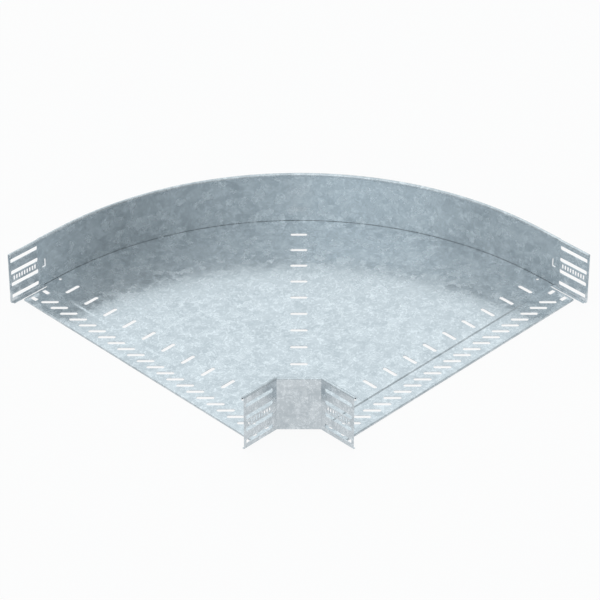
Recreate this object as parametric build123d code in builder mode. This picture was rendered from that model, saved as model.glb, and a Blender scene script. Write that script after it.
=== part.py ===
"""Flat 90 degree bend of a perforated cable tray, in folded galvanised sheet, millimetres.

Frame: the origin is the centre of the outer wall's arc, on the upper face of the flat floor, +Z up.
The left arm opens toward -X and the right arm toward -Y, and the bend is the same on both sides of
the plane x = y, so what belongs to an arm is modelled on the left arm and mirrored about that plane.
A reach is a distance from the origin toward an arm's mouth, and a level is a height above the
underside of the side rails.
"""
import math
import os

from build123d import *

# Sheet
sheet = 1.2

# Plan of the bend
outer_radius = 603.2
inner_wall_offset = 6.2
corner_cut = 39.5
arm_reach = 122.0
inner_fold_radius = 2.0

# Section of both side rails
rail_height = 107.5
curl_radius = 3.5
curl_wrap = 240
foot_bend_radius = 1.0
flange_width = 14.0
tongue_lip_width = 4.8
tongue_corner_radius = 5.0

# Step of the outer rail, by which its tongue slides inside the next tray
step_start = 52.0
step_length = 3.0

# Latch tab of the outer rail, cut free at its back and foot by an L-shaped slit before the step
latch_to_step = 7.5
latch_length = 8.1
latch_height = 16.7
latch_level = 40.0
latch_slit_width = 2.6

# Perforation of the tongues: long slots with a comb of short upright ones between them
long_slot_start_gap = 0.4
long_slot_end_gap = 4.6
long_slot_width = 8.0
long_slot_pitch = 25.0
long_slot_count = 4
comb_slot_width = 3.6
comb_slot_height = 9.0
comb_pitch = 6.05
comb_inset = 5.0
perforation_level = 51.5

# Floor and the connecting strip that steps down from it at each mouth
base_reach = 41.5
flange_clearance = 0.5
joggle_length = 2.8
strip_width = 52.7
strip_outer_gap = 7.7
strip_inner_gap = 8.8
lip_drop = 2.2
sheet_bend_radius = 0.8

# Perforation of the floor: a row of slots on the diagonal, and one along each mouth
slot_width = 7.4
slot_end_sides = 4
floor_slot_pitch = 50.0
floor_slot_end_gap = 20.0
diagonal_slot_length = 28.5
diagonal_slot_start = 55.5
mouth_slot_length = 30.0
mouth_slot_start = 55.0
mouth_slot_inset = 24.7

# Perforation of the strips: slanted slots, and two short ones at each end of the row
strip_slot_length = 29.0
strip_slot_pitch = 25.0
strip_slot_start = 55.2
strip_slot_inset = 25.9
short_slot_length = 14.5
short_slot_width = 8.0
short_slot_pitch = 27.9
short_slot_inset = 24.25
short_slot_outer_gap = 11.3
short_slot_inner_gap = 11.8

# Screw hole through the floor and the flange under it
screw_hole_radius = 3.0
screw_hole_reach = 10.9
screw_hole_inset = 8.7

# Levels, lines and counts that follow from the sizes above
floor_bottom = -sheet
rail_bottom = floor_bottom - sheet
foot_outside_radius = foot_bend_radius + sheet
sheet_outside_radius = sheet_bend_radius + sheet
floor_edge = outer_radius - foot_outside_radius
tongue_face = outer_radius - sheet
tongue_start = step_start + step_length
flange_reach = base_reach - flange_clearance
latch_end = latch_to_step - step_start
strip_start = base_reach + joggle_length
strip_end = strip_start + strip_width
strip_outer_side = tongue_face - strip_outer_gap
strip_inner_side = inner_wall_offset + strip_inner_gap
short_slot_outer_line = strip_outer_side - short_slot_outer_gap
short_slot_inner_line = strip_inner_side + short_slot_inner_gap
screw_hole = (-screw_hole_reach, outer_radius - screw_hole_inset)
slant = 45
diagonal = Vector(1, 1).normalized()
mirror_plane = Plane(origin=(0, 0, 0), z_dir=(1, -1, 0))

long_slot_length = arm_reach - tongue_start - long_slot_start_gap - long_slot_end_gap
perforation_middle = -arm_reach + long_slot_end_gap + long_slot_length / 2
comb_count = 1 + int((long_slot_length - 2 * comb_inset) // comb_pitch)
diagonal_slot_room = floor_edge - floor_slot_end_gap - diagonal_slot_start
diagonal_slot_count = 1 + int(diagonal_slot_room // floor_slot_pitch)
mouth_slot_room = floor_edge - floor_slot_end_gap - mouth_slot_start
mouth_slot_count = 1 + int(mouth_slot_room // floor_slot_pitch)
strip_slot_room = short_slot_outer_line - (short_slot_length + strip_slot_length) / 2 - strip_slot_start
strip_slot_count = 1 + int(strip_slot_room // strip_slot_pitch)

# The inner rail's folds: the facet's outer face is on the line x + y = -corner_cut
fold_setback = inner_fold_radius * math.tan(math.radians(slant / 2))
fold_corner = Vector(-corner_cut - inner_wall_offset, inner_wall_offset)
fold_start = fold_corner - Vector(fold_setback, 0)
fold_center = fold_start - Vector(0, inner_fold_radius)
facet_middle = Vector(-corner_cut / 2, -corner_cut / 2)
facet_half_length = (fold_corner - facet_middle).length - fold_setback
floor_corner_line = -corner_cut + foot_outside_radius * math.sqrt(2)


def across_rail(x, y, back):
    """Plane across a rail at the point (x, y) of its outer face; local x points out, along back."""
    return Plane(origin=(x, y, rail_bottom), x_dir=back, z_dir=back.cross(Vector(0, 0, 1)))


def tongue_view(face):
    """Plane on the face y = face of a left tongue, seen from the front; local y is the level."""
    return Plane(origin=(0, face, rail_bottom), x_dir=(1, 0, 0), z_dir=(0, -1, 0))


def slot_outline(length):
    """Outline of a floor slot along x. Its round ends have few sides, because there are many slots."""
    with BuildSketch() as outline:
        with GridLocations(length - slot_width, 0, 2, 1):
            RegularPolygon(slot_width / 2, 2 * slot_end_sides, major_radius=False, rotation=90 / slot_end_sides)
        Rectangle(length - slot_width, slot_width)
    return outline.sketch


# Section of a side rail: the wall's outer face is on local x = 0, and the tray is on its -x side
with BuildSketch() as rail_section:
    with BuildLine():
        Line((-flange_width, 0), (-foot_outside_radius, 0))
        foot_center = (-foot_outside_radius, foot_outside_radius)
        foot_arc = CenterArc(foot_center, foot_outside_radius, -90, 90)
        curl_center = (-curl_radius, rail_height - curl_radius)
        curl_arc = CenterArc(curl_center, curl_radius, 0, curl_wrap)
        Line(foot_arc @ 1, curl_arc @ 0)
        offset(amount=sheet, side=Side.LEFT)
    make_face()

# Openings of a tongue, seen from the front
with BuildSketch() as tongue_openings:
    with Locations((perforation_middle, perforation_level)):
        with GridLocations(0, long_slot_pitch, 1, long_slot_count):
            Rectangle(long_slot_length, long_slot_width)
        with GridLocations(comb_pitch, 0, comb_count, 1):
            Rectangle(comb_slot_width, comb_slot_height)

# Corner that is taken off the lower end of an outer tongue, in the same view
with BuildSketch() as tongue_corner:
    with Locations((-arm_reach, 0)):
        Rectangle(tongue_corner_radius, tongue_corner_radius, align=Align.MIN)
    with Locations((-arm_reach + tongue_corner_radius, tongue_corner_radius)):
        Circle(tongue_corner_radius, mode=Mode.SUBTRACT)

# Slit round the latch tab, in the same view: an upright with a foot toward the mouth
with BuildSketch() as latch_slit:
    with Locations((latch_end, latch_level)):
        Rectangle(latch_length, latch_slit_width, align=Align.MIN)
    with Locations((latch_end + latch_length, latch_level)):
        Rectangle(latch_slit_width, latch_height, align=(Align.MAX, Align.MIN))


# Outer side rail: rolled wall, straight ends and a stepped tongue on each
with BuildPart() as outer_side_rail:
    outward = Vector(0, 1, 0)
    with BuildSketch(across_rail(0, outer_radius, outward)):
        add(rail_section.sketch)
    revolve(axis=-Axis.Z, revolution_arc=slant)
    with BuildSketch(across_rail(-step_start, outer_radius, outward)):
        add(rail_section.sketch)
    extrude(amount=step_start)
    with BuildSketch(across_rail(-step_start, outer_radius, outward)):
        add(rail_section.sketch)
    with BuildSketch(across_rail(-tongue_start, tongue_face, outward)):
        add(rail_section.sketch)
    loft(ruled=True)
    with BuildSketch(across_rail(-arm_reach, tongue_face, outward)):
        add(rail_section.sketch)
    extrude(amount=arm_reach - tongue_start)

    # The flange ends where the floor steps down, and goes on as a narrow lip under the tongue
    with BuildSketch(Plane.XY.offset(rail_bottom)):
        with Locations((-flange_reach, tongue_face - tongue_lip_width)):
            Rectangle(arm_reach, flange_width, align=Align.MAX)
    extrude(amount=foot_outside_radius, mode=Mode.SUBTRACT)

    # Openings and rounded lower corner of the tongue
    with BuildSketch(tongue_view(outer_radius)):
        add(tongue_openings.sketch)
        add(tongue_corner.sketch)
    extrude(amount=sheet + foot_outside_radius + tongue_lip_width, mode=Mode.SUBTRACT)

    with BuildSketch(tongue_view(outer_radius)):
        add(latch_slit.sketch)
    extrude(amount=sheet, mode=Mode.SUBTRACT)

    with BuildSketch(Plane.XY.offset(rail_bottom)):
        with Locations(screw_hole):
            Circle(screw_hole_radius)
    extrude(amount=sheet, mode=Mode.SUBTRACT)

    mirror(about=mirror_plane)

outer_side_rail.part.label = "outer_side_rail"


# Inner corner rail: two tongues and a facet between them, folded from one strip
with BuildPart() as inner_corner_rail:
    outward = Vector(0, -1, 0)
    with BuildSketch(across_rail(fold_start.X, inner_wall_offset, outward)):
        add(rail_section.sketch)
    extrude(amount=arm_reach + fold_start.X)
    with BuildSketch(across_rail(fold_start.X, inner_wall_offset, outward)):
        add(rail_section.sketch)
    revolve(axis=Axis(fold_center, (0, 0, -1)), revolution_arc=slant)
    with BuildSketch(across_rail(facet_middle.X, facet_middle.Y, -diagonal)):
        add(rail_section.sketch)
    extrude(amount=facet_half_length)

    # The flange ends where the floor steps down, and goes on as a narrow lip under the tongue
    with BuildSketch(Plane.XY.offset(rail_bottom)):
        with Locations((-flange_reach, inner_wall_offset + tongue_lip_width)):
            Rectangle(arm_reach, flange_width, align=(Align.MAX, Align.MIN))
    extrude(amount=foot_outside_radius, mode=Mode.SUBTRACT)

    with BuildSketch(tongue_view(inner_wall_offset)):
        add(tongue_openings.sketch)
    extrude(amount=-sheet, mode=Mode.SUBTRACT)

    mirror(about=mirror_plane)

inner_corner_rail.part.label = "inner_corner_rail"


# Base plate: flat floor on both flanges, with a stepped-down strip at each mouth
with BuildPart() as base_plate:
    with BuildSketch(Plane.XY.offset(floor_bottom)):
        with BuildLine():
            left_side = Line((-base_reach, floor_edge), (0, floor_edge))
            outer_arc = CenterArc((0, 0), floor_edge, 90, -90)
            right_side = Line(outer_arc @ 1, (floor_edge, -base_reach))
            Polyline(
                right_side @ 1,
                (floor_corner_line + base_reach, -base_reach),
                (-base_reach, floor_corner_line + base_reach),
                left_side @ 0,
            )
        make_face()
    extrude(amount=sheet)

    # Connecting strip, drawn as the line of its upper face from the floor to the end lip
    with BuildSketch(Plane.XZ.offset(-strip_outer_side)):
        with BuildLine():
            FilletPolyline(
                (-base_reach + joggle_length, 0),
                (-base_reach, 0),
                (-strip_start, -sheet),
                (-strip_end, -sheet),
                (-strip_end, rail_bottom - lip_drop),
                radius=[sheet_outside_radius, sheet_bend_radius, sheet_outside_radius],
            )
            offset(amount=sheet, side=Side.LEFT)
        make_face()
    extrude(amount=strip_outer_side - strip_inner_side)
    mirror(about=mirror_plane)

    # Perforation of the floor and the strips
    with BuildSketch(Plane.XY.offset(rail_bottom)):
        for row in range(diagonal_slot_count):
            with Locations(diagonal * (diagonal_slot_start + row * floor_slot_pitch)):
                add(slot_outline(diagonal_slot_length), rotation=-slant)
        for row in range(mouth_slot_count):
            with Locations((mouth_slot_inset - base_reach, mouth_slot_start + row * floor_slot_pitch)):
                add(slot_outline(mouth_slot_length))
        for row in range(strip_slot_count):
            with Locations((-strip_start - strip_slot_inset, strip_slot_start + row * strip_slot_pitch)):
                add(slot_outline(strip_slot_length), rotation=-slant)
        for line in (short_slot_outer_line, short_slot_inner_line):
            with Locations((-strip_start - short_slot_inset, line)):
                with GridLocations(short_slot_pitch, 0, 2, 1):
                    Rectangle(short_slot_width, short_slot_length)
        with Locations(screw_hole):
            Circle(screw_hole_radius)
        mirror(about=mirror_plane)
    extrude(amount=2 * sheet, mode=Mode.SUBTRACT)

base_plate.part.label = "base_plate"


os.makedirs("parts", exist_ok=True)
for piece in (base_plate, outer_side_rail, inner_corner_rail):
    export_step(piece.part, f"parts/{piece.part.label}.step")
    size = piece.part.bounding_box().size
    print(piece.part.label, f"{size.X:.1f} x {size.Y:.1f} x {size.Z:.1f} mm,", len(piece.part.solids()), "solid")
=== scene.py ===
"""A flat cable tray bend in folded, hot-dip galvanised sheet: pieces, finish, studio and camera.

The object lies in its own frame in metres: the origin is the centre of the outer wall's arc on the
upper face of the floor, +Z is up, and the arms open toward -X and -Y. The left arm is the one that
opens toward -X. The right arm is its mirror image.
"""
import logging
import math
from dataclasses import dataclass
from enum import Enum
from typing import ClassVar

import bpy
import bmesh
from mathutils import Matrix, Vector


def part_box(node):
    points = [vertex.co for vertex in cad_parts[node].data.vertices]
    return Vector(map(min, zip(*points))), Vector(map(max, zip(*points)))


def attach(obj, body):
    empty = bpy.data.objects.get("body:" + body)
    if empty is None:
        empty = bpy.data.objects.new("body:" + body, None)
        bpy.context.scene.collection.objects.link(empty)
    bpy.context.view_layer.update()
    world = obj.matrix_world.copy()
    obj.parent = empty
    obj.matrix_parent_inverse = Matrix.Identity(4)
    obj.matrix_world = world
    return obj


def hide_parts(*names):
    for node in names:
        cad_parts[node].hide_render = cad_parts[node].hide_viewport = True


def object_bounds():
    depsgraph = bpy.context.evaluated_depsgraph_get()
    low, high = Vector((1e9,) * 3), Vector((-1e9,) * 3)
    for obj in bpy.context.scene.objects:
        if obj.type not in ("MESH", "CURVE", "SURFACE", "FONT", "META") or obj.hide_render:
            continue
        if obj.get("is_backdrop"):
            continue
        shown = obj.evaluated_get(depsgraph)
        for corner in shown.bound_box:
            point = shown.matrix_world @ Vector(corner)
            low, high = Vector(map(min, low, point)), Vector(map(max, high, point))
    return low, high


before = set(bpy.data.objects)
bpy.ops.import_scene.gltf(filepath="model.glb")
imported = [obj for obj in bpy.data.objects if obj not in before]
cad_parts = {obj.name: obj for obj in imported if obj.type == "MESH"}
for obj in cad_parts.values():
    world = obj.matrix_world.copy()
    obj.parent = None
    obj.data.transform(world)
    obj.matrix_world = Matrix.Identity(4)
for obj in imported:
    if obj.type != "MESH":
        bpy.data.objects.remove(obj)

MM = 0.001
RIGHT_ANGLE = 90
HALF_BEND = 45
ORIGIN = (0, 0, 0)
UP = (0, 0, 1)
DOWN = (0, 0, -1)
PHOTO_PIXELS = 600
JOIN_DISTANCE = 0.01 * MM
SHARP_ANGLE = math.radians(30)

Span = tuple[float, float]
Place = tuple[float, float, float]
Color = tuple[float, float, float, float]

log = logging.getLogger("cable_tray_bend")


class Side(Enum):
    """The side of the tray that a rail closes, as the sign of the y that its left wall faces."""

    OUTER = 1
    INNER = -1


class Ease(Enum):
    """How a Map Range node goes from one end to the other."""

    STRAIGHT = "LINEAR"
    SOFT = "SMOOTHSTEP"


class NodeTree:
    """A node tree that is built link by link, with the sockets given by name."""

    def __init__(self, tree: bpy.types.NodeTree) -> None:
        """Empties the tree.

        Args:
            tree: The node tree of a material or of the world.
        """
        self.tree = tree
        self.tree.nodes.clear()

    def add(self, kind: str, settings: dict[str, object] | None = None,
            **inputs: object) -> bpy.types.Node:
        """Adds a node, sets it up and links or sets its inputs.

        Args:
            kind: The node's type, such as ShaderNodeBsdfPrincipled.
            settings: Values for the node's own properties.
            **inputs: Values or output sockets for its inputs, by socket name with _ for a space.

        Returns:
            The new node.
        """
        node = self.tree.nodes.new(kind)
        for name, value in (settings or {}).items():
            setattr(node, name, value)
        for name, value in inputs.items():
            self.feed(node.inputs[name.replace("_", " ")], value)
        return node

    def feed(self, socket: bpy.types.NodeSocket, value: object) -> None:
        """Links an output socket to an input, or sets the input's own value.

        Args:
            socket: The input.
            value: An output socket, a number, a vector or a colour.
        """
        if isinstance(value, bpy.types.NodeSocket):
            self.tree.links.new(value, socket)
        else:
            socket.default_value = value

    def calculate(self, kind: str, operation: str, *values: object) -> bpy.types.Node:
        """Adds a Math or Vector Math node.

        Args:
            kind: The node's type.
            operation: The node's operation.
            *values: Its inputs in order, as numbers, vectors or output sockets.

        Returns:
            The new node.
        """
        node = self.add(kind, {"operation": operation})
        for socket, value in zip(node.inputs, values):
            self.feed(socket, value)
        return node

    def math(self, operation: str, *values: object) -> bpy.types.NodeSocket:
        """Adds a Math node and gives its value."""
        return self.calculate("ShaderNodeMath", operation, *values).outputs["Value"]

    def vector(self, operation: str, *values: object) -> bpy.types.NodeSocket:
        """Adds a Vector Math node and gives its vector."""
        return self.calculate("ShaderNodeVectorMath", operation, *values).outputs["Vector"]

    def map_range(self, value: bpy.types.NodeSocket, span: Span, onto: Span = (0, 1),
                  ease: Ease = Ease.STRAIGHT) -> bpy.types.NodeSocket:
        """Maps a span of values onto another one, and holds the result at its ends.

        Args:
            value: The value that is mapped.
            span: The values at the ends.
            onto: The results at the ends.
            ease: How the result goes from end to end.

        Returns:
            The result.
        """
        ends = {"From_Min": span[0], "From_Max": span[1], "To_Min": onto[0], "To_Max": onto[1]}
        settings = {"interpolation_type": ease.value}
        return self.add("ShaderNodeMapRange", settings, Value=value, **ends).outputs["Result"]


@dataclass(frozen=True)
class Grain:
    """A soft noise on the sheet, with the size of its patches and how finely they break up."""

    size: float
    detail: float
    roughness: float = 0.5
    swirl: float = 0.0

    def lay(self, nodes: NodeTree, place: bpy.types.NodeSocket) -> bpy.types.Node:
        """Adds the noise's texture node, laid out by a place on the object."""
        return nodes.add(
            "ShaderNodeTexNoise",
            Vector=place,
            Scale=1 / self.size,
            Detail=self.detail,
            Roughness=self.roughness,
            Distortion=self.swirl,
        )


@dataclass(frozen=True)
class GalvanisedFinish:
    """Zinc from a hot dip: torn crystals and feathery flecks of slightly different grey.

    Attributes:
        dark_zinc: The darkest zinc.
        light_zinc: The lightest zinc.
        tone_span: The tones from 0 to 1 at which those two are reached.
        crystal_size: How wide a crystal is.
        crystal_blur: How softly it goes over into the next one.
        crystal_weight: The crystals' share of the tone.
        tears: The noise that pushes the crystals' edges about.
        tear_reach: How far it pushes them.
        flecks: The noise of the feathery flecks.
        fleck_span: The noise at which a fleck starts and is full.
        fleck_weight: The flecks' share of the tone.
        clouds: The noise of wide, faint clouds.
        cloud_weight: The clouds' share of the tone.
        dimples: The noise of the sheet's relief.
        dimple_depth: How deep the relief is.
        dimple_strength: How much of it shows.
        roughness_span: The roughness of the darkest and the lightest crystal.
        metal_share: How metallic the surface is.
        painted_shade_reach: How near another face has to be for painted shade to darken the zinc.
        painted_shade_span: How open a tight corner and plain sheet are, from 0 to 1.
        painted_shade_tone: The share of its brightness that a tight corner keeps under it.
        painted_shade_samples: The rays that look for other faces.
    """

    dark_zinc: Color = (0.505, 0.555, 0.59, 1)
    light_zinc: Color = (0.78, 0.83, 0.865, 1)
    tone_span: Span = (0.12, 0.8)
    crystal_size: float = 13 * MM
    crystal_blur: float = 0.4
    crystal_weight: float = 0.35
    tears: Grain = Grain(size=6 * MM, detail=3.0)
    tear_reach: float = 6 * MM
    flecks: Grain = Grain(size=9 * MM, detail=3.0, roughness=0.55, swirl=1.6)
    fleck_span: Span = (0.46, 0.68)
    fleck_weight: float = 0.4
    clouds: Grain = Grain(size=60 * MM, detail=2.0)
    cloud_weight: float = 0.25
    dimples: Grain = Grain(size=5 * MM, detail=1.0)
    dimple_depth: float = 0.03 * MM
    dimple_strength: float = 0.6
    roughness_span: Span = (0.17, 0.30)
    metal_share: float = 0.75
    # Painted shade: ambient occlusion darkens the zinc's colour in tight corners and gaps.
    painted_shade_reach: float = 3 * MM
    painted_shade_span: Span = (0.25, 0.75)
    painted_shade_tone: float = 0.58
    painted_shade_samples: int = 8

    def torn_place(self, nodes: NodeTree, place: bpy.types.NodeSocket) -> bpy.types.NodeSocket:
        """The place on the object, pushed about so that crystals get torn edges.

        Args:
            nodes: The material's tree.
            place: The place on the object.

        Returns:
            The pushed place.
        """
        middle = (0.5, 0.5, 0.5)
        push = nodes.vector("SUBTRACT", self.tears.lay(nodes, place).outputs["Color"], middle)
        return nodes.vector("MULTIPLY_ADD", push, (2 * self.tear_reach,) * 3, place)

    def crystal_tone(self, nodes: NodeTree, place: bpy.types.NodeSocket) -> bpy.types.NodeSocket:
        """A grey for each zinc crystal.

        Args:
            nodes: The material's tree.
            place: The place that the crystals are laid out by.

        Returns:
            A number from 0 to 1, much the same all over a crystal.
        """
        cells = nodes.add(
            "ShaderNodeTexVoronoi",
            {"feature": "SMOOTH_F1"},
            Vector=place,
            Scale=1 / self.crystal_size,
            Smoothness=self.crystal_blur,
        )
        return nodes.add("ShaderNodeSeparateColor", Color=cells.outputs["Color"]).outputs["Red"]

    def fleck_tone(self, nodes: NodeTree, place: bpy.types.NodeSocket) -> bpy.types.NodeSocket:
        """Light feathery flecks between the crystals, as a number from 0 to 1."""
        noise = self.flecks.lay(nodes, place).outputs["Fac"]
        return nodes.map_range(noise, self.fleck_span, ease=Ease.SOFT)

    def zinc(self, nodes: NodeTree, tone: bpy.types.NodeSocket) -> bpy.types.NodeSocket:
        """The zinc's colour, darkened by painted shade in tight corners.

        Args:
            nodes: The material's tree.
            tone: The zinc's tone.

        Returns:
            The colour.
        """
        ramp = nodes.add("ShaderNodeValToRGB", Fac=tone)
        colors = (self.dark_zinc, self.light_zinc)
        for end, position, color in zip(ramp.color_ramp.elements, self.tone_span, colors):
            end.position = position
            end.color = color
        # Painted shade: ambient occlusion darkens the zinc's colour where other faces are close.
        rays = {"samples": self.painted_shade_samples}
        painted_shade_ao = nodes.add("ShaderNodeAmbientOcclusion", rays, Distance=self.painted_shade_reach)
        painted_shade_factor = nodes.map_range(painted_shade_ao.outputs["AO"], self.painted_shade_span, (self.painted_shade_tone, 1))
        scale = {"operation": "SCALE"}
        zinc_under_painted_shade = nodes.add("ShaderNodeVectorMath", scale, Vector=ramp.outputs["Color"], Scale=painted_shade_factor)
        return zinc_under_painted_shade.outputs["Vector"]

    def material(self) -> bpy.types.Material:
        """Makes the finish as a node material on Object coordinates.

        Returns:
            The material.
        """
        material = bpy.data.materials.new("galvanised_sheet")
        material.use_nodes = True
        nodes = NodeTree(material.node_tree)
        place = nodes.add("ShaderNodeTexCoord").outputs["Object"]
        torn = self.torn_place(nodes, place)
        crystals = self.crystal_tone(nodes, torn)
        clouds = self.clouds.lay(nodes, place).outputs["Fac"]
        tone = nodes.math("MULTIPLY", self.fleck_tone(nodes, place), self.fleck_weight)
        tone = nodes.math("MULTIPLY_ADD", crystals, self.crystal_weight, tone)
        tone = nodes.math("MULTIPLY_ADD", clouds, self.cloud_weight, tone)
        relief = nodes.add(
            "ShaderNodeBump",
            Height=self.dimples.lay(nodes, torn).outputs["Fac"],
            Distance=self.dimple_depth,
            Strength=self.dimple_strength,
        )
        metal = nodes.add(
            "ShaderNodeBsdfPrincipled",
            Base_Color=self.zinc(nodes, tone),
            Metallic=self.metal_share,
            Roughness=nodes.map_range(crystals, (0, 1), self.roughness_span),
            Normal=relief.outputs["Normal"],
        )
        nodes.add("ShaderNodeOutputMaterial", Surface=metal.outputs["BSDF"])
        return material


class Line:
    """A line of edges that is drawn stroke by stroke in a bmesh."""

    def __init__(self, *places: Place, shape: bmesh.types.BMesh | None = None) -> None:
        """Draws straight strokes.

        Args:
            *places: The start and the ends of the strokes.
            shape: The bmesh that takes the line, or none for one of its own.
        """
        self.shape = bmesh.new() if shape is None else shape
        self.start = self.tip = self.point(places[0])
        self.to(*places[1:])

    def point(self, place: Place) -> bmesh.types.BMVert:
        """Makes a single vertex."""
        return bmesh.ops.create_vert(self.shape, co=place)["vert"][0]

    def to(self, *places: Place) -> "Line":
        """Goes on straight, from place to place.

        Args:
            *places: The ends of the strokes.

        Returns:
            The line itself.
        """
        for place in places:
            end = self.point(place)
            self.shape.edges.new((self.tip, end))
            self.tip = end
        return self

    def round(self, centre: Place, axis: Place, angle: float, steps: int) -> "Line":
        """Goes on along an arc.

        Args:
            centre: The arc's centre.
            axis: The axis that it goes round, by the right-hand rule.
            angle: How far it goes, in degrees.
            steps: The number of edges.

        Returns:
            The line itself.
        """
        made = bmesh.ops.spin(
            self.shape,
            geom=[self.tip],
            cent=centre,
            axis=axis,
            angle=math.radians(angle),
            steps=steps,
        )
        self.tip = made["geom_last"][0]
        return self

    def close(self) -> "Line":
        """Joins the tip to the start."""
        self.shape.edges.new((self.tip, self.start))
        return self


class Sweep:
    """A stretch of sheet that a line leaves behind as it is moved along and turned."""

    def __init__(self, line: Line) -> None:
        """Starts from a drawn line, whose bmesh it takes over."""
        self.shape = line.shape
        self.front = self.shape.edges[:]

    def run(self, way: Place) -> "Sweep":
        """Moves the front straight on.

        Args:
            way: How far it moves.

        Returns:
            The sweep itself.
        """
        made = bmesh.ops.extrude_edge_only(self.shape, edges=self.front)["geom"]
        ahead = [item for item in made if isinstance(item, bmesh.types.BMVert)]
        edges = [item for item in made if isinstance(item, bmesh.types.BMEdge)]
        bmesh.ops.translate(self.shape, verts=ahead, vec=way)
        fresh = set(ahead)
        self.front = [edge for edge in edges if fresh.issuperset(edge.verts)]
        return self

    def turn(self, centre: Place, axis: Place, angle: float, steps: int) -> "Sweep":
        """Turns the front round an axis.

        Args:
            centre: A point of the axis.
            axis: The axis' direction, by the right-hand rule.
            angle: How far it turns, in degrees.
            steps: The number of faces on the way.

        Returns:
            The sweep itself.
        """
        ends = dict.fromkeys(vert for edge in self.front for vert in edge.verts)
        made = bmesh.ops.spin(
            self.shape,
            geom=[*ends, *self.front],
            cent=centre,
            axis=axis,
            angle=math.radians(angle),
            steps=steps,
        )
        self.front = [item for item in made["geom_last"] if isinstance(item, bmesh.types.BMEdge)]
        return self


@dataclass(frozen=True)
class Opening:
    """A punched opening with round ends or rounded corners, along its own x.

    Attributes:
        length: Its length.
        width: Its width.
        corner_radius: The radius of its corners, half its width where the ends are round.
        sides: The number of sides that its corners have together, a multiple of four.
    """

    length: float
    width: float
    corner_radius: float
    sides: int = 20

    @classmethod
    def slot(cls, length: float, width: float) -> "Opening":
        """A slot with round ends."""
        return cls(length, width, width / 2)

    def punch(self, shape: bmesh.types.BMesh, x: float, y: float, slant: float = 0) -> None:
        """Draws the outline in the plane z = 0.

        Args:
            shape: The bmesh that takes the outline.
            x: The x of its middle.
            y: The y of its middle.
            slant: Its turn in degrees.
        """
        half_step = math.pi / self.sides
        ring = bmesh.ops.create_circle(
            shape,
            segments=self.sides,
            radius=self.corner_radius / math.cos(half_step),
            matrix=Matrix.Rotation(half_step, 4, "Z"),
        )["verts"]
        stretch = self.length / 2 - self.corner_radius
        spread = self.width / 2 - self.corner_radius
        for side in (1, -1):
            ahead = [vert for vert in ring if vert.co.x * side > 0]
            above = [vert for vert in ring if vert.co.y * side > 0]
            bmesh.ops.translate(shape, verts=ahead, vec=(side * stretch, 0, 0))
            bmesh.ops.translate(shape, verts=above, vec=(0, side * spread, 0))
        place = Matrix.Translation((x, y, 0)) @ Matrix.Rotation(math.radians(slant), 4, "Z")
        bmesh.ops.transform(shape, matrix=place, verts=ring)


@dataclass(frozen=True)
class Plan:
    """Sizes that the tray's pieces share.

    A reach is measured from the origin toward an arm's mouth. The overall sizes come from the
    frame, and the ones with a value are read from the photograph or follow common practice.

    Attributes:
        outer_radius: The radius of the outer wall's outer face.
        arm_reach: Where the rails end.
        rail_bottom: The height of the rails' underside.
        rail_top: The height of the curls' top.
        strip_end: Where the floor's connecting strips end.
        lip_bottom: The lower edge of the strips' end lips.
        sheet: The sheet's thickness.
        inner_wall_offset: The y of the inner rail's outer face, along the left arm.
        corner_cut: How far the facet cuts the inner corner off, along each arm.
        base_reach: Where the floor steps down into its connecting strips.
        flange_clearance: How much shorter than that the rails' flanges are.
        foot_radius: The outer radius of the bend at a wall's foot.
        screw_hole: The hole for a screw near each outer corner.
        screw_place: The left one's x and y.
    """

    outer_radius: float
    arm_reach: float
    rail_bottom: float
    rail_top: float
    strip_end: float
    lip_bottom: float
    sheet: float = 1.2 * MM
    inner_wall_offset: float = 6.2 * MM
    corner_cut: float = 39.5 * MM
    base_reach: float = 41.5 * MM
    flange_clearance: float = 0.5 * MM
    foot_radius: float = 2.2 * MM
    screw_hole: Opening = Opening.slot(6.0 * MM, 6.0 * MM)
    screw_place: tuple[float, float] = (-10.9 * MM, 594.5 * MM)

    @classmethod
    def from_frame(cls) -> "Plan":
        """Takes the overall sizes from the boxes of the CAD nodes.

        Returns:
            The plan.
        """
        rail_low, rail_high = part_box("outer_side_rail")
        base_low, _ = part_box("base_plate")
        return cls(
            outer_radius=rail_high.x,
            arm_reach=-rail_low.x,
            rail_bottom=rail_low.z,
            rail_top=rail_high.z,
            strip_end=-base_low.x,
            lip_bottom=base_low.z,
        )

    @property
    def flange_reach(self) -> float:
        """How far a flange goes on under the floor toward the mouth."""
        return self.base_reach - self.flange_clearance

    @property
    def floor_edge(self) -> float:
        """The radius of the floor's round edge, where the wall's foot starts to bend up."""
        return self.outer_radius - self.foot_radius


def as_mesh(shape: bmesh.types.BMesh, name: str) -> bpy.types.Mesh:
    """Writes a bmesh to a new mesh and frees it.

    Args:
        shape: The bmesh.
        name: The mesh's name.

    Returns:
        The mesh.
    """
    mesh = bpy.data.meshes.new(name)
    shape.to_mesh(mesh)
    shape.free()
    return mesh


def in_scene(data: bpy.types.ID) -> bpy.types.Object:
    """Puts a mesh, lamp or camera in the scene, as an object of the same name.

    Args:
        data: The mesh, lamp or camera.

    Returns:
        The object.
    """
    item = bpy.data.objects.new(data.name, data)
    bpy.context.scene.collection.objects.link(item)
    return item


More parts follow.
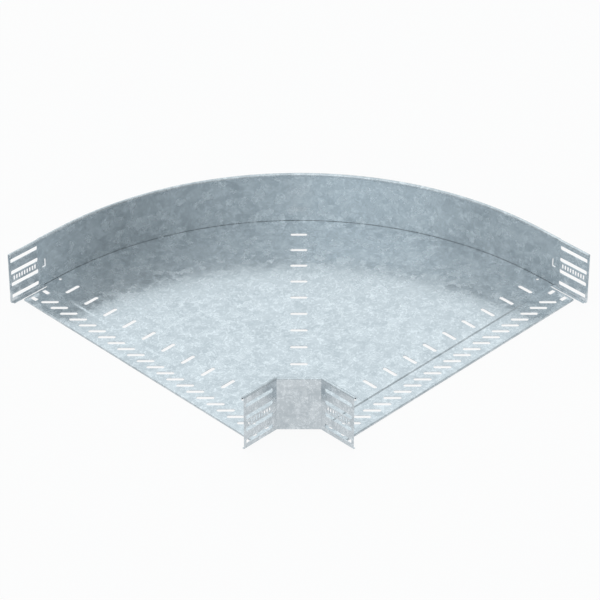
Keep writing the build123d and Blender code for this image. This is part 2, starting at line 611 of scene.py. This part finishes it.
class SheetForm:
    """One face of a folded sheet, put together from flat panels and sweeps, then thickened."""

    def __init__(self) -> None:
        """Starts with no sheet."""
        self.shape = bmesh.new()

    def take(self, stretch: bmesh.types.BMesh, place: Matrix, smooth: bool) -> None:
        """Takes in a stretch of sheet and frees its bmesh.

        Args:
            stretch: The stretch's bmesh.
            place: Where it goes.
            smooth: Whether it is curved.
        """
        for face in stretch.faces:
            face.smooth = smooth
        mesh = as_mesh(stretch, "stretch")
        mesh.transform(place)
        self.shape.from_mesh(mesh)
        bpy.data.meshes.remove(mesh)

    def fold(self, sweep: Sweep) -> None:
        """Adds a swept stretch where it is."""
        self.take(sweep.shape, Matrix(), smooth=True)

    def panel(self, outline: bmesh.types.BMesh, place: Matrix) -> None:
        """Fills a flat panel between the outlines that are drawn in the plane z = 0.

        The fill is told the panel's normal. Where it guesses it, some openings get stray faces.

        Args:
            outline: Its outer outline and its openings, closed.
            place: Where the panel goes.
        """
        bmesh.ops.triangle_fill(
            outline, use_beauty=True, use_dissolve=False, edges=outline.edges, normal=UP
        )
        self.take(outline, place, smooth=False)

    def mirror(self) -> None:
        """Adds the right arm's sheet, which is the left arm's with x and y exchanged."""
        shape = self.shape
        drawn = [*shape.verts, *shape.edges, *shape.faces]
        copy = bmesh.ops.duplicate(shape, geom=drawn)["geom"]
        exchange = Matrix(((0, 1, 0, 0), (1, 0, 0, 0), (0, 0, 1, 0), (0, 0, 0, 1)))
        fresh = [item for item in copy if isinstance(item, bmesh.types.BMVert)]
        bmesh.ops.transform(shape, matrix=exchange, verts=fresh)

    def thicken(self, name: str, sheet: float, outside: Place) -> bpy.types.Object:
        """Joins the stretches, gives them the sheet's thickness and makes the object.

        Args:
            name: The object's name.
            sheet: The thickness, laid behind the drawn face.
            outside: A direction that the drawn face looks in, on the whole.

        Returns:
            The object.
        """
        shape, way = self.shape, Vector(outside)
        bmesh.ops.remove_doubles(shape, verts=shape.verts, dist=JOIN_DISTANCE)
        bmesh.ops.recalc_face_normals(shape, faces=shape.faces)
        if sum(face.normal.dot(way) * face.calc_area() for face in shape.faces) < 0:
            bmesh.ops.reverse_faces(shape, faces=shape.faces)
        bmesh.ops.solidify(shape, geom=shape.faces[:], thickness=sheet)
        open_edges = sum(not edge.is_manifold for edge in shape.edges)
        if open_edges:
            log.warning("%s isn't closed at %d edges", name, open_edges)
        mesh = as_mesh(shape, name)
        mesh.set_sharp_from_angle(angle=SHARP_ANGLE)
        return in_scene(mesh)


@dataclass
class TrayPiece:
    """A folded piece of the tray, which stands for a CAD node."""

    plan: Plan
    finish: bpy.types.Material
    node: ClassVar[str]
    outside: ClassVar[Place]

    def draw(self, form: SheetForm) -> None:
        """Draws the piece's outer face."""
        raise NotImplementedError

    def build(self) -> bpy.types.Object:
        """Models the piece, gives it its finish and puts it in its node's place.

        Returns:
            The piece's object.
        """
        form = SheetForm()
        self.draw(form)
        piece = form.thicken(f"folded_{self.node}", self.plan.sheet, self.outside)
        piece.data.materials.append(self.finish)
        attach(piece, "root")
        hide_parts(self.node)
        return piece


@dataclass
class BasePlate(TrayPiece):
    """The slotted floor, whose connecting strips step down under the next tray at each mouth."""

    node: ClassVar[str] = "base_plate"
    outside: ClassVar[Place] = UP

    edge_steps: int = 96
    fold_steps: int = 4
    top_bend: float = 2.0 * MM
    hollow_bend: float = 0.8 * MM
    joggle_length: float = 2.8 * MM
    strip_near_side: float = 15.0 * MM
    strip_far_side: float = 594.3 * MM
    floor_slot: Opening = Opening.slot(31.0 * MM, 7.4 * MM)
    mouth_slot: Opening = Opening.slot(31.5 * MM, 7.4 * MM)
    strip_slot: Opening = Opening.slot(31.5 * MM, 7.4 * MM)
    short_slot: Opening = Opening(8.0 * MM, 14.5 * MM, 1.5 * MM)
    slot_slant: float = -45
    floor_slots: int = 11
    floor_slot_pitch: float = 50.0 * MM
    diagonal_start: float = 55.5 * MM
    mouth_start: float = 55.0 * MM
    mouth_inset: float = 24.7 * MM
    strip_slots: int = 21
    strip_slot_pitch: float = 25.0 * MM
    strip_start: float = 55.2 * MM
    strip_line: float = 70.2 * MM
    short_line: float = 68.55 * MM
    short_pitch: float = 27.9 * MM
    short_rows: tuple[float, float] = (583.0 * MM, 26.8 * MM)

    def draw(self, form: SheetForm) -> None:
        """Draws the strips, mirrors them, and adds the floor between them.

        Args:
            form: The form that takes them.
        """
        self.draw_strip(form)
        form.mirror()
        form.panel(self.floor_outline(), Matrix())

    def floor_outline(self) -> bmesh.types.BMesh:
        """The floor's outline with its slots and screw holes.

        Returns:
            The outlines.
        """
        plan = self.plan
        mouth, edge = -plan.base_reach, plan.floor_edge
        corner = -plan.corner_cut + plan.foot_radius * math.sqrt(2) + plan.base_reach
        near, far = self.strip_near_side, self.strip_far_side
        line = Line((mouth, corner, 0), (mouth, near, 0), (mouth, far, 0), (mouth, edge, 0))
        line.to((0, edge, 0)).round(ORIGIN, DOWN, RIGHT_ANGLE, self.edge_steps)
        line.to((edge, mouth, 0), (far, mouth, 0), (near, mouth, 0), (corner, mouth, 0)).close()
        shape = line.shape
        mouth_row = self.mouth_inset - plan.base_reach
        for row in range(self.floor_slots):
            along = row * self.floor_slot_pitch
            on_diagonal = (self.diagonal_start + along) / math.sqrt(2)
            self.floor_slot.punch(shape, on_diagonal, on_diagonal, self.slot_slant)
            self.mouth_slot.punch(shape, mouth_row, self.mouth_start + along)
            self.mouth_slot.punch(shape, self.mouth_start + along, mouth_row, RIGHT_ANGLE)
        plan.screw_hole.punch(shape, *plan.screw_place)
        plan.screw_hole.punch(shape, *reversed(plan.screw_place))
        return shape

    def draw_strip(self, form: SheetForm) -> None:
        """Draws the left strip: joggle, slotted flat and end lip.

        Args:
            form: The form that takes it.
        """
        plan = self.plan
        slope = math.degrees(math.atan2(plan.sheet, self.joggle_length))
        rise, along = math.sin(math.radians(slope)), math.cos(math.radians(slope))
        bent = (self.top_bend + self.hollow_bend) * (1 - along)
        straight = (plan.sheet - bent) / rise
        mouth, near, far = -plan.base_reach, self.strip_near_side, self.strip_far_side
        hollow = mouth - self.top_bend * rise - straight * along - self.hollow_bend * rise
        bottom = -plan.sheet
        turn_down, turn_back = (0, -1, 0), (0, 1, 0)
        joggle = Sweep(Line((mouth, near, 0), (mouth, far, 0)))
        joggle.turn((mouth, 0, -self.top_bend), turn_down, slope, self.fold_steps)
        joggle.run((-straight * along, 0, -straight * rise))
        joggle.turn((hollow, 0, bottom + self.hollow_bend), turn_back, slope, self.fold_steps)
        form.fold(joggle)
        lip_start = -plan.strip_end + self.top_bend
        form.panel(self.strip_outline(hollow, lip_start), Matrix.Translation((0, 0, bottom)))
        lip = Sweep(Line((lip_start, near, bottom), (lip_start, far, bottom)))
        lip_centre = (lip_start, 0, bottom - self.top_bend)
        lip.turn(lip_centre, turn_down, RIGHT_ANGLE, self.fold_steps)
        lip.run((0, 0, plan.lip_bottom - bottom + self.top_bend))
        form.fold(lip)

    def strip_outline(self, start: float, end: float) -> bmesh.types.BMesh:
        """The flat of the left strip, with its slanted slots and two short ones at each end.

        Args:
            start: Where the flat leaves the joggle.
            end: Where it meets the end lip.

        Returns:
            The outlines.
        """
        near, far = self.strip_near_side, self.strip_far_side
        line = Line((start, near, 0), (start, far, 0), (end, far, 0), (end, near, 0)).close()
        for row in range(self.strip_slots):
            level = self.strip_start + row * self.strip_slot_pitch
            self.strip_slot.punch(line.shape, -self.strip_line, level, self.slot_slant)
        for row in self.short_rows:
            for side in (-0.5, 0.5):
                across = -self.short_line + side * self.short_pitch
                self.short_slot.punch(line.shape, across, row)
        return line.shape


@dataclass
class SideRail(TrayPiece):
    """A wall with a flange folded in at its foot and a curl rolled in along its top.

    The left arm's wall is parallel to x. Its outer face is drawn.
    """

    side: ClassVar[Side]

    curl_radius: float = 3.5 * MM
    curl_wrap: float = 240
    curl_steps: int = 24
    foot_steps: int = 5
    flange_width: float = 14.0 * MM
    lip_width: float = 4.8 * MM
    long_slot: Opening = Opening(62.0 * MM, 8.0 * MM, 2.0 * MM)
    long_slots: int = 4
    long_slot_pitch: float = 25.0 * MM
    comb_slot: Opening = Opening(3.6 * MM, 9.0 * MM, 0.8 * MM)
    comb_slots: int = 9
    comb_pitch: float = 6.05 * MM
    perforation_inset: float = 35.6 * MM
    perforation_level: float = 51.5 * MM

    @property
    def wall_top(self) -> float:
        """The level at which the wall goes over into the curl."""
        return self.plan.rail_top - self.plan.rail_bottom - self.curl_radius

    @property
    def roll_axis(self) -> Place:
        """The axis that the section turns about, from the flange up the wall and into the curl."""
        return (self.side.value, 0, 0)

    @property
    def flange_place(self) -> Matrix:
        """Lays a panel that is drawn in x and y on the rail's underside."""
        return Matrix.Translation((0, 0, self.plan.rail_bottom))

    def wall_place(self, wall: float) -> Matrix:
        """Stands a panel that is drawn in x and level on the left arm's outer face."""
        upright = Matrix.Rotation(math.radians(RIGHT_ANGLE), 4, "X")
        return Matrix.Translation((0, wall, self.plan.rail_bottom)) @ upright

    def place(self, reach: float, wall: float, across: float, level: float) -> Place:
        """A point of the left arm.

        Args:
            reach: Its distance from the origin toward the mouth.
            wall: The y of the wall's outer face.
            across: How far it is from that face toward the tray.
            level: Its height above the rail's underside.

        Returns:
            The point.
        """
        return (-reach, wall - self.side.value * across, self.plan.rail_bottom + level)

    def foot_line(self, reach: float, wall: float) -> Line:
        """The bend at the wall's foot, from the flat to the wall.

        Args:
            reach: Its distance from the origin toward the mouth.
            wall: The y of the wall's outer face.

        Returns:
            The line.
        """
        radius = self.plan.foot_radius
        line = Line(self.place(reach, wall, radius, 0))
        centre = self.place(reach, wall, radius, radius)
        return line.round(centre, self.roll_axis, RIGHT_ANGLE, self.foot_steps)

    def curl(self, line: Line, reach: float, wall: float) -> Line:
        """Goes on with the rolled top edge from the wall's end."""
        centre = self.place(reach, wall, self.curl_radius, self.wall_top)
        return line.round(centre, self.roll_axis, self.curl_wrap, self.curl_steps)

    def punch_tongue(self, shape: bmesh.types.BMesh) -> None:
        """Draws a tongue's long slots, and the comb of short upright ones between them.

        Args:
            shape: The bmesh that takes the outlines.
        """
        middle = self.perforation_inset - self.plan.arm_reach
        for row in range(self.long_slots):
            above = (row - (self.long_slots - 1) / 2) * self.long_slot_pitch
            self.long_slot.punch(shape, middle, self.perforation_level + above)
        for tooth in range(self.comb_slots):
            along = (tooth - (self.comb_slots - 1) / 2) * self.comb_pitch
            self.comb_slot.punch(shape, middle + along, self.perforation_level)


@dataclass
class OuterRail(SideRail):
    """The long rail, rolled to a quarter circle, with a stepped tongue at each end."""

    node: ClassVar[str] = "outer_side_rail"
    outside: ClassVar[Place] = (1, 1, 0)
    side: ClassVar[Side] = Side.OUTER

    arc_steps: int = 36
    step_start: float = 52.0 * MM
    step_end: float = 55.0 * MM
    corner_radius: float = 5.0 * MM
    corner_steps: int = 6
    slit_start: float = 36.4 * MM
    slit_length: float = 8.1 * MM
    slit_level: float = 40.0 * MM
    slit_height: float = 16.7 * MM
    slit_width: float = 2.6 * MM

    def draw(self, form: SheetForm) -> None:
        """Draws the left half, from the diagonal to the mouth, and mirrors it.

        Args:
            form: The form that takes it.
        """
        wall, foot, top = self.plan.outer_radius, self.plan.foot_radius, self.wall_top
        section = self.foot_line(0, wall).to(self.place(0, wall, 0, top))
        form.fold(self.round_bend(self.curl(section, 0, wall)))
        flange_edge = self.place(0, wall, self.flange_width, 0)
        form.fold(self.round_bend(Line(flange_edge, self.place(0, wall, foot, 0))))
        form.panel(self.flange_outline(), self.flange_place)
        curl = self.curl(Line(self.place(0, wall, 0, top)), 0, wall)
        form.fold(self.along_arm(curl))
        form.fold(self.round_corner(self.along_arm(self.foot_line(0, wall))))
        form.panel(self.latch_outline(), self.wall_place(wall))
        at_step = self.step_start
        step = Line(self.place(at_step, wall, 0, foot), self.place(at_step, wall, 0, top))
        form.fold(Sweep(step).run(self.step_way))
        form.panel(self.tongue_outline(), self.wall_place(self.tongue_face))
        form.mirror()

    @property
    def tongue_face(self) -> float:
        """The y of the left tongue's outer face, one sheet further in."""
        return self.plan.outer_radius - self.plan.sheet

    @property
    def step_way(self) -> Place:
        """The way from the step's start to its end."""
        return (self.step_start - self.step_end, -self.plan.sheet, 0)

    def round_bend(self, line: Line) -> Sweep:
        """Takes a line from the left arm's end of the arc to the diagonal."""
        return Sweep(line).turn(ORIGIN, DOWN, HALF_BEND, self.arc_steps)

    def along_arm(self, line: Line) -> Sweep:
        """Takes a line from the arc's end along the arm, over the step, to the mouth."""
        over_step = Sweep(line).run((-self.step_start, 0, 0)).run(self.step_way)
        return over_step.run((self.step_end - self.plan.arm_reach, 0, 0))

    def corner_pull(self, level: float) -> float:
        """How far the tongue's rounded lower corner stands back from its end at a level."""
        below = max(self.corner_radius - level, 0)
        return self.corner_radius - math.sqrt(self.corner_radius**2 - below**2)

    def round_corner(self, foot: Sweep) -> Sweep:
        """Takes the tongue's lower corner off the end of the foot.

        Args:
            foot: The foot, swept to the mouth.

        Returns:
            The foot.
        """
        for vert in {vert for edge in foot.front for vert in edge.verts}:
            vert.co.x += self.corner_pull(vert.co.z - self.plan.rail_bottom)
        return foot

    def flange_outline(self) -> bmesh.types.BMesh:
        """The flange under the floor's edge, and the narrow lip under the tongue.

        Returns:
            The outline, with the screw hole's.
        """
        plan = self.plan
        inner, bend = plan.outer_radius - self.flange_width, plan.outer_radius - plan.foot_radius
        lip = self.tongue_face - self.lip_width
        end = self.corner_pull(0) - plan.arm_reach
        shape = Line(
            (0, inner, 0),
            (0, bend, 0),
            (-self.step_start, bend, 0),
            (-self.step_end, bend - plan.sheet, 0),
            (end, bend - plan.sheet, 0),
            (end, lip, 0),
            (-plan.flange_reach, lip, 0),
            (-plan.flange_reach, inner, 0),
        ).close().shape
        plan.screw_hole.punch(shape, *plan.screw_place)
        return shape

    def latch_outline(self) -> bmesh.types.BMesh:
        """The straight wall before the step, with the slit that frees the latch tab.

        Returns:
            The outlines.
        """
        foot, top, step = self.plan.foot_radius, self.wall_top, -self.step_start
        shape = Line((0, foot, 0), (0, top, 0), (step, top, 0), (step, foot, 0)).close().shape
        near, far = -self.slit_start, -self.slit_start - self.slit_length
        low, high = self.slit_level, self.slit_level + self.slit_height
        Line(
            (far, low, 0),
            (near, low, 0),
            (near, high, 0),
            (near - self.slit_width, high, 0),
            (near - self.slit_width, low + self.slit_width, 0),
            (far, low + self.slit_width, 0),
            shape=shape,
        ).close()
        return shape

    def tongue_outline(self) -> bmesh.types.BMesh:
        """The tongue's wall with its openings and its rounded lower corner.

        Returns:
            The outlines.
        """
        foot, top, end = self.plan.foot_radius, self.wall_top, -self.plan.arm_reach
        corner = math.degrees(math.asin(1 - foot / self.corner_radius))
        centre = (end + self.corner_radius, self.corner_radius, 0)
        line = Line((end + self.corner_pull(foot), foot, 0))
        line.round(centre, DOWN, corner, self.corner_steps)
        line.to((end, top, 0), (-self.step_end, top, 0), (-self.step_end, foot, 0)).close()
        self.punch_tongue(line.shape)
        return line.shape


@dataclass
class InnerRail(SideRail):
    """The short rail of the inner corner: two tongues with a facet folded between them."""

    node: ClassVar[str] = "inner_corner_rail"
    outside: ClassVar[Place] = (-1, -1, 0)
    side: ClassVar[Side] = Side.INNER

    fold_radius: float = 2.0 * MM
    fold_steps: int = 6

    @property
    def fold_centre(self) -> Vector:
        """The axis of the fold between the left tongue and the facet, in plan.

        Returns:
            Its place.
        """
        wall = self.plan.inner_wall_offset
        setback = self.fold_radius * math.tan(math.radians(HALF_BEND / 2))
        return Vector((-self.plan.corner_cut - wall - setback, wall - self.fold_radius, 0))

    @property
    def facet_way(self) -> Vector:
        """The way from the end of the fold to the middle of the facet."""
        middle = Vector((-1, -1, 0)) * (self.plan.corner_cut / 2)
        return middle - self.on_fold(0)

    def on_fold(self, across: float) -> Vector:
        """The point at the facet's end of the fold that lies across from the outer face."""
        inward = Vector((1, 1, 0)).normalized()
        return self.fold_centre + inward * (self.fold_radius + across)

    def draw(self, form: SheetForm) -> None:
        """Draws the left half, from the facet's middle to the mouth, and mirrors it.

        Args:
            form: The form that takes it.
        """
        wall, start = self.plan.inner_wall_offset, -self.fold_centre.x
        wall_end = self.place(start, wall, 0, self.wall_top)
        facet = Sweep(self.curl(self.foot_line(start, wall).to(wall_end), start, wall))
        facet.turn(self.fold_centre, DOWN, HALF_BEND, self.fold_steps)
        form.fold(facet.run(self.facet_way))
        arm = (start - self.plan.arm_reach, 0, 0)
        form.fold(Sweep(self.foot_line(start, wall)).run(arm))
        form.fold(Sweep(self.curl(Line(wall_end), start, wall)).run(arm))
        form.panel(self.tongue_outline(start), self.wall_place(wall))
        form.panel(self.flange_outline(), self.flange_place)
        form.mirror()

    def tongue_outline(self, start: float) -> bmesh.types.BMesh:
        """The tongue's wall with its openings, from the fold to the mouth.

        Args:
            start: The reach at which the fold ends.

        Returns:
            The outlines.
        """
        foot, top, end = self.plan.foot_radius, self.wall_top, -self.plan.arm_reach
        line = Line((-start, foot, 0), (end, foot, 0), (end, top, 0), (-start, top, 0)).close()
        self.punch_tongue(line.shape)
        return line.shape

    def flange_outline(self) -> bmesh.types.BMesh:
        """The flange under the floor's corner, and the narrow lip under the tongue.

        Returns:
            The outline.
        """
        plan, wall, centre = self.plan, self.plan.inner_wall_offset, self.fold_centre
        foot, lip = wall + plan.foot_radius, wall + self.lip_width
        edge_radius = self.fold_radius + self.flange_width
        from_centre = -plan.flange_reach - centre.x
        edge_start = math.degrees(math.acos(from_centre / edge_radius))
        edge_y = centre.y + edge_radius * math.sin(math.radians(edge_start))
        facet_foot = self.on_fold(plan.foot_radius)
        line = Line(facet_foot + self.facet_way, facet_foot)
        line.round(centre, UP, HALF_BEND, self.fold_steps)
        line.to((-plan.arm_reach, foot, 0), (-plan.arm_reach, lip, 0))
        line.to((-plan.flange_reach, lip, 0), (-plan.flange_reach, edge_y, 0))
        line.round(centre, DOWN, edge_start - HALF_BEND, self.fold_steps)
        line.to(self.on_fold(self.flange_width) + self.facet_way).close()
        return line.shape


def aim(item: bpy.types.Object, position: Place, target: Place) -> None:
    """Puts a lamp or camera in its position and points it at a target.

    Args:
        item: The lamp or camera.
        position: Where it stands.
        target: Where it points.
    """
    item.location = position
    way = Vector(target) - Vector(position)
    item.rotation_euler = way.to_track_quat("-Z", "Y").to_euler()


@dataclass(frozen=True)
class PhotoCamera:
    """The photograph's view: a long lens, level with a line across the bend's diagonal.

    Attributes:
        position: Where the camera stands.
        target: Where it points.
        lens_mm: Its focal length.
        sensor_mm: The width of its sensor.
        middle_column: The pixel column that it points at.
    """

    position: Place = (-3.0085, -3.0085, 3.2446)
    target: Place = (0.2462, 0.2462, -0.0006)
    lens_mm: float = 190.06
    sensor_mm: float = 36.0
    middle_column: float = 298.89

    def build(self) -> bpy.types.Object:
        """Makes the camera and sets it as the scene's.

        Returns:
            The camera's object.
        """
        data = bpy.data.cameras.new("photo_camera")
        data.lens = self.lens_mm
        data.sensor_width = self.sensor_mm
        data.shift_x = (PHOTO_PIXELS / 2 - self.middle_column) / PHOTO_PIXELS
        camera = in_scene(data)
        aim(camera, self.position, self.target)
        bpy.context.scene.camera = camera
        return camera


@dataclass(frozen=True)
class SoftBox:
    """One large soft lamp above and behind the object, to the camera's left."""

    width: float = 2.4
    depth: float = 1.6
    power: float = 2
    position: Place = (-0.6, 1.8, 2.6)
    target: Place = (0.25, 0.25, 0)

    def build(self) -> bpy.types.Object:
        """Hangs the lamp.

        Returns:
            The lamp's object.
        """
        data = bpy.data.lights.new("soft_box", "AREA")
        data.shape = "RECTANGLE"
        data.size = self.width
        data.size_y = self.depth
        data.energy = self.power
        lamp = in_scene(data)
        aim(lamp, self.position, self.target)
        return lamp


@dataclass(frozen=True)
class Patch:
    """A soft round patch on the room's walls.

    Attributes:
        way: The direction of its middle, seen from the object.
        edge: The cosine of the angle from its middle at which it has faded out.
        level_change: How much brighter than the wall its middle is.
    """

    way: Place
    edge: float
    level_change: float


@dataclass(frozen=True)
class Studio:
    """A white room with a pale floor, a dark skirting and lighter and darker patches of wall.

    Attributes:
        floor_size: The side of the square floor.
        floor_color: The floor's paint, as light from the room meets it.
        white_level: How bright the floor looks to the camera and in the metal.
        shadow_share: How much of the shadow on the paint shows there.
        wall_level: How bright the walls are.
        wall_color: The walls' tint.
        skirting_top: The sine of the angle above the floor at which the skirting has faded out.
        skirting_level: How bright the room is at the floor's level, as a share of the walls.
        patches: The patches on the walls.
        soft_box: The lamp.
    """

    floor_size: float = 12.0
    floor_color: Color = (0.8, 0.8, 0.8, 1)
    white_level: float = 1.0
    shadow_share: float = 0.08
    wall_level: float = 0.95
    wall_color: Color = (0.94, 1.0, 1.02, 1)
    skirting_top: float = 0.40
    skirting_level: float = 0.15
    patches: tuple[Patch, ...] = (
        Patch(way=(0.58, 0.58, 0.58), edge=0.45, level_change=0.2),
        Patch(way=(-0.58, -0.58, 0.58), edge=0.6, level_change=0.38),
        Patch(way=(0.0, -0.90, 0.44), edge=0.62, level_change=-0.6),
        Patch(way=(-0.70, 0.50, 0.45), edge=0.75, level_change=-0.2),
        Patch(way=(0.60, -0.05, 0.80), edge=0.88, level_change=-0.6),
    )
    soft_box: SoftBox = SoftBox()

    def build(self, floor_level: float) -> None:
        """Builds the floor, the room and its lamp.

        Args:
            floor_level: The height of the floor's surface.
        """
        self.build_floor(floor_level)
        self.build_room()
        self.soft_box.build()

    def build_floor(self, level: float) -> bpy.types.Object:
        """Lays the floor under the object.

        Args:
            level: The height of the floor's surface.

        Returns:
            The floor's object.
        """
        shape = bmesh.new()
        bmesh.ops.create_grid(shape, x_segments=1, y_segments=1, size=self.floor_size / 2)
        bmesh.ops.translate(shape, verts=shape.verts, vec=(0, 0, level))
        floor = in_scene(as_mesh(shape, "studio_floor"))
        floor.data.materials.append(self.floor_material())
        floor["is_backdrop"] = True
        return floor

    def floor_material(self) -> bpy.types.Material:
        """Makes pale paint that the camera and the metal see as white, with some shadow on it.

        Returns:
            The material.
        """
        material = bpy.data.materials.new("studio_floor")
        material.use_nodes = True
        nodes = NodeTree(material.node_tree)
        paint = nodes.add("ShaderNodeBsdfDiffuse", Color=self.floor_color)
        white = nodes.add("ShaderNodeEmission", Strength=self.white_level)
        ray = nodes.add("ShaderNodeLightPath").outputs
        seen = nodes.math("MAXIMUM", ray["Is Camera Ray"], ray["Is Glossy Ray"])
        seen = nodes.math("MAXIMUM", seen, ray["Is Transmission Ray"])
        white_share = nodes.math("MULTIPLY", seen, 1 - self.shadow_share)
        mix = nodes.add("ShaderNodeMixShader", Fac=white_share)
        nodes.feed(mix.inputs[1], paint.outputs["BSDF"])
        nodes.feed(mix.inputs[2], white.outputs["Emission"])
        nodes.add("ShaderNodeOutputMaterial", Surface=mix.outputs["Shader"])
        return material

    def build_room(self) -> None:
        """Makes the room's walls, which light the object: their patches and the skirting."""
        world = bpy.data.worlds.new("studio_world")
        bpy.context.scene.world = world
        world.use_nodes = True
        nodes = NodeTree(world.node_tree)
        way = nodes.add("ShaderNodeTexCoord").outputs["Generated"]
        level = self.wall_level
        for patch in self.patches:
            middle = Vector(patch.way).normalized()
            toward = nodes.calculate("ShaderNodeVectorMath", "DOT_PRODUCT", way, middle)
            fade = nodes.map_range(toward.outputs["Value"], (patch.edge, 1), ease=Ease.SOFT)
            level = nodes.math("MULTIPLY_ADD", fade, patch.level_change, level)
        height = nodes.add("ShaderNodeSeparateXYZ", Vector=way).outputs["Z"]
        shares = (self.skirting_level, 1)
        rise = nodes.map_range(height, (0, self.skirting_top), shares, Ease.SOFT)
        level = nodes.math("MULTIPLY", level, rise)
        walls = nodes.add("ShaderNodeBackground", Color=self.wall_color, Strength=level)
        nodes.add("ShaderNodeOutputWorld", Surface=walls.outputs["Background"])


def main() -> None:
    """Builds the tray's pieces, the studio and the camera."""
    logging.basicConfig(level=logging.INFO, format="%(name)s: %(message)s")
    cad_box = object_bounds()
    plan = Plan.from_frame()
    finish = GalvanisedFinish().material()
    for piece_type in (BasePlate, OuterRail, InnerRail):
        piece = piece_type(plan, finish).build()
        log.info("%s: %d faces", piece.name, len(piece.data.polygons))
    Studio().build(cad_box[0].z)
    PhotoCamera().build()
    bpy.context.scene.view_settings.view_transform = "Standard"


if __name__ == "__main__":
    main()
